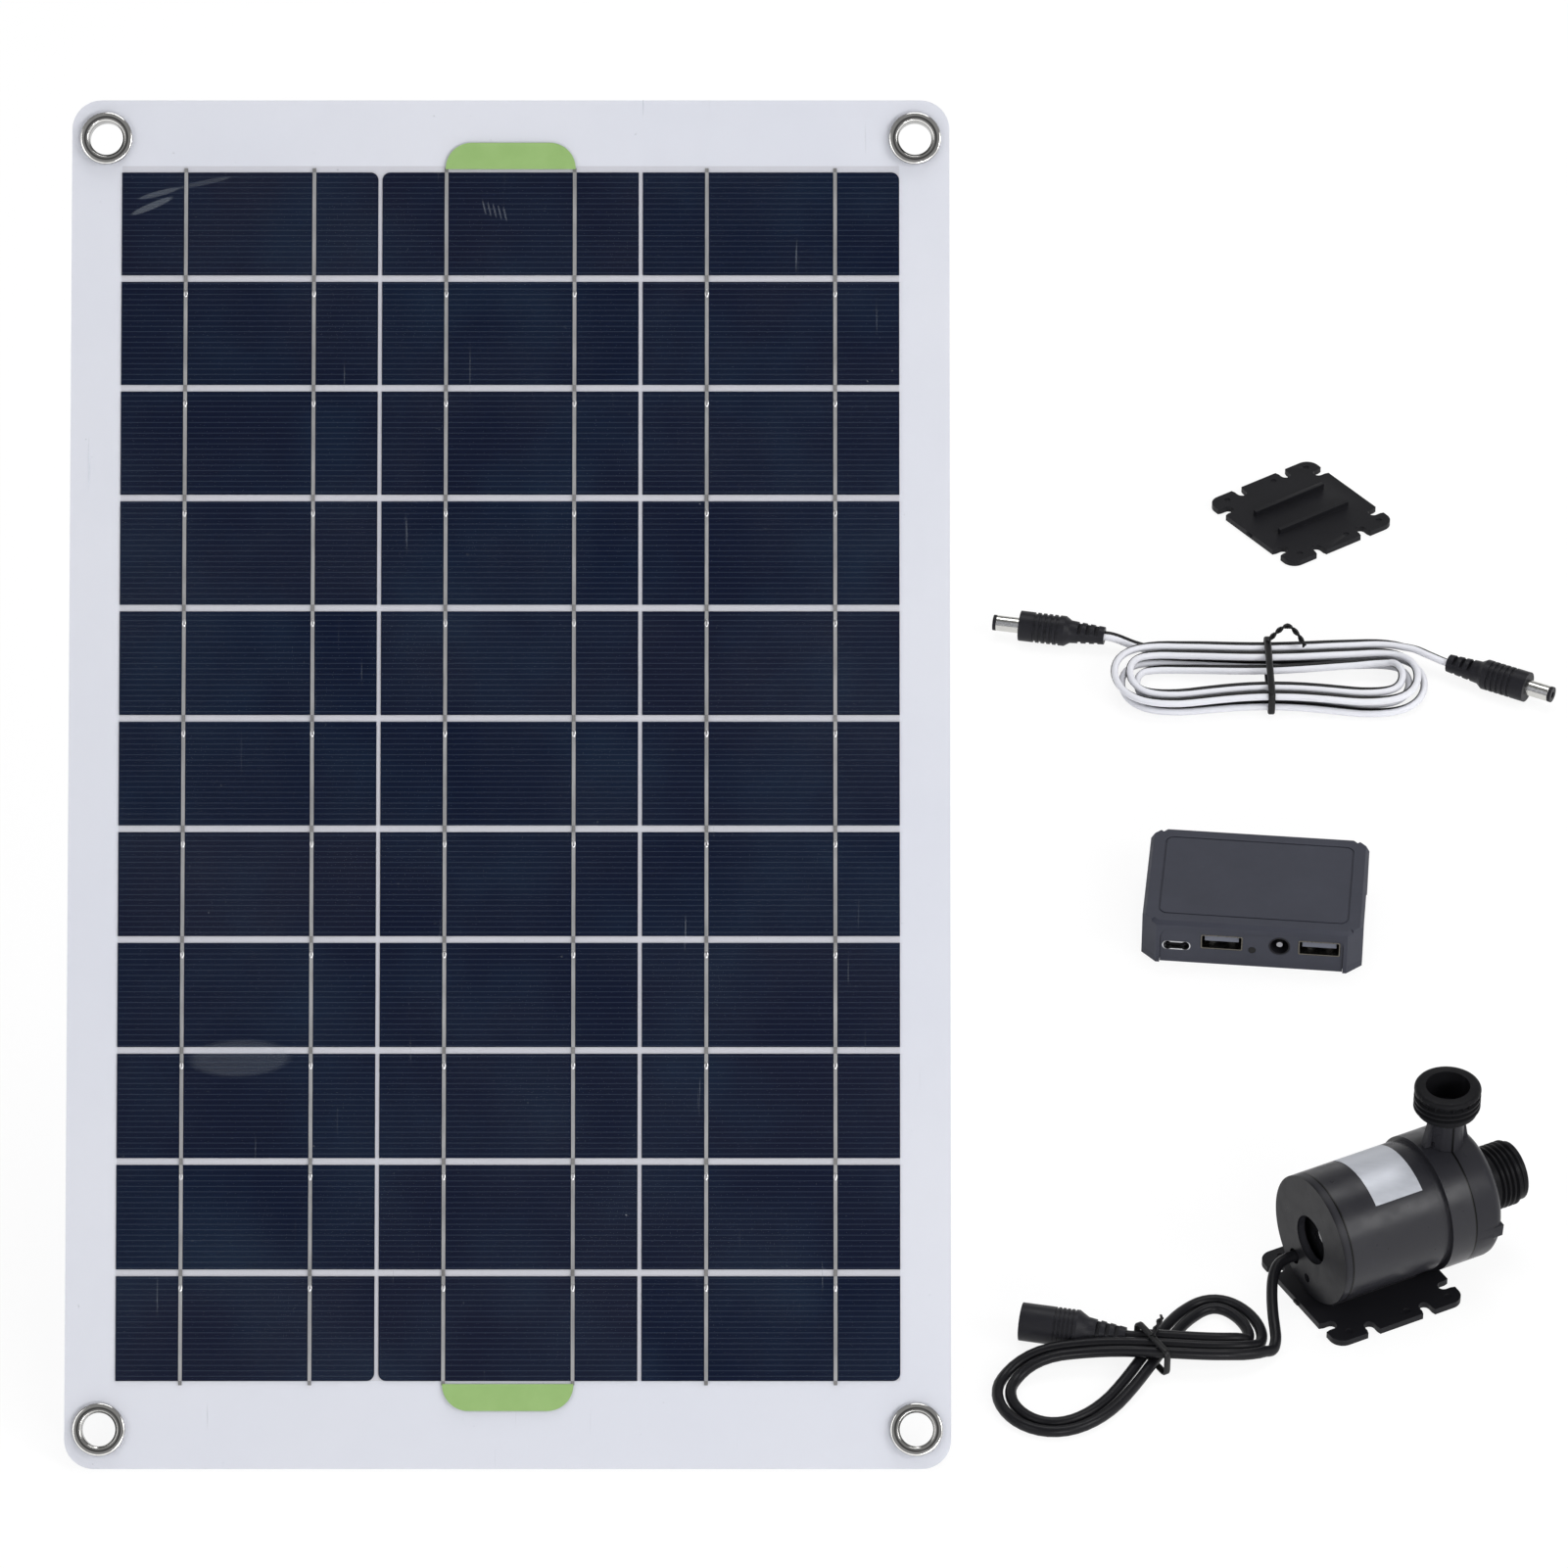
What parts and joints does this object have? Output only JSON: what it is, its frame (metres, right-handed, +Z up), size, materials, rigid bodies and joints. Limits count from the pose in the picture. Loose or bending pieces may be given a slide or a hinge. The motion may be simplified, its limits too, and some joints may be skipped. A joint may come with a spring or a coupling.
{
  "type": "solar fountain pump",
  "caption": "Solar fountain pump kit: leaning solar panel with corner eyelets, battery box with ports, tied plug lead, spare base plate, and submersible pump with tied cord.",
  "frame": {"origin": "middle of the underside of the pump's base plate, on the surface that the kit stands on", "axes": "+Z up, +Y away from the viewer towards the spare plate, +X to the viewer's right; the panel stands to the left"},
  "size_m": [0.4859, 0.5517, 0.3233],
  "materials": {
    "laminate": "satin white laminate",
    "cell": "dark navy silicon",
    "ribbon": "tinned ribbon",
    "film": "clear matt film",
    "nickel": "nickel plate",
    "black": "moulded, satin",
    "pump_grey": "moulded, satin",
    "slate": "fine textured",
    "pale": "moulded",
    "board": "solder mask",
    "pouch": "foil pouch",
    "tin": "tinned sheet",
    "can_grey": "moulded",
    "resin": "cast resin",
    "lamination": "stacked sheet",
    "copper": "enamelled wire",
    "magnet": "sintered",
    "ceramic": "ground",
    "rubber": "moulded",
    "black_cord": "satin sheath",
    "white_cord": "satin sheath"
  },
  "bodies": {
    "kit": {"panel_board": "laminate", "solar_cells": "cell", "cell_ribbons": "ribbon", "front_film": "film", "eyelets": "nickel", "eyelet_washers": "nickel", "junction_box": "black", "junction_lid": "black", "junction_socket": "black", "junction_pin": "nickel", "bank_base": "slate", "bank_cover": "slate", "port_panel": "slate", "battery_pouch": "pouch", "charge_board": "board", "left_socket": "tin", "right_socket": "tin", "socket_tongues": "pale", "oval_socket": "tin", "oval_tongue": "black", "bank_jack": "black", "bank_jack_pin": "nickel", "indicator_lens": "pale", "left_plug_moulding": "black", "left_plug_barrel": "nickel", "left_plug_tip": "black", "right_plug_moulding": "black", "right_plug_barrel": "nickel", "right_plug_tip": "black", "lead_run_left": "white_cord", "lead_hank": "white_cord", "lead_run_right": "white_cord", "lead_tie": "black", "spare_base": "black", "pump_base": "black", "motor_housing": "pump_grey", "rear_cap": "pump_grey", "potting": "resin", "drive_board": "board", "board_components": "black", "rotor_can": "can_grey", "stator_core": "lamination", "stator_coils": "copper", "shaft": "ceramic", "thrust_washers": "ceramic", "pump_head": "pump_grey", "o_ring": "rubber", "cord_gland": "rubber", "pump_cord_run": "black_cord", "pump_cord_hank": "black_cord", "cord_tie": "black", "socket_moulding": "black", "socket_sleeve": "nickel", "socket_pin": "nickel"},
    "rotor": {"rotor_magnet": "magnet", "impeller": "can_grey", "rotor_bushes": "can_grey"}
  },
  "joints": [
    {"name": "impeller_spin", "type": "hinge", "parent": "kit", "child": "rotor", "pos_m": [0, 0, 0.02451], "axis": [0.8829, 0.4695, 0], "continuous": true}
  ]
}
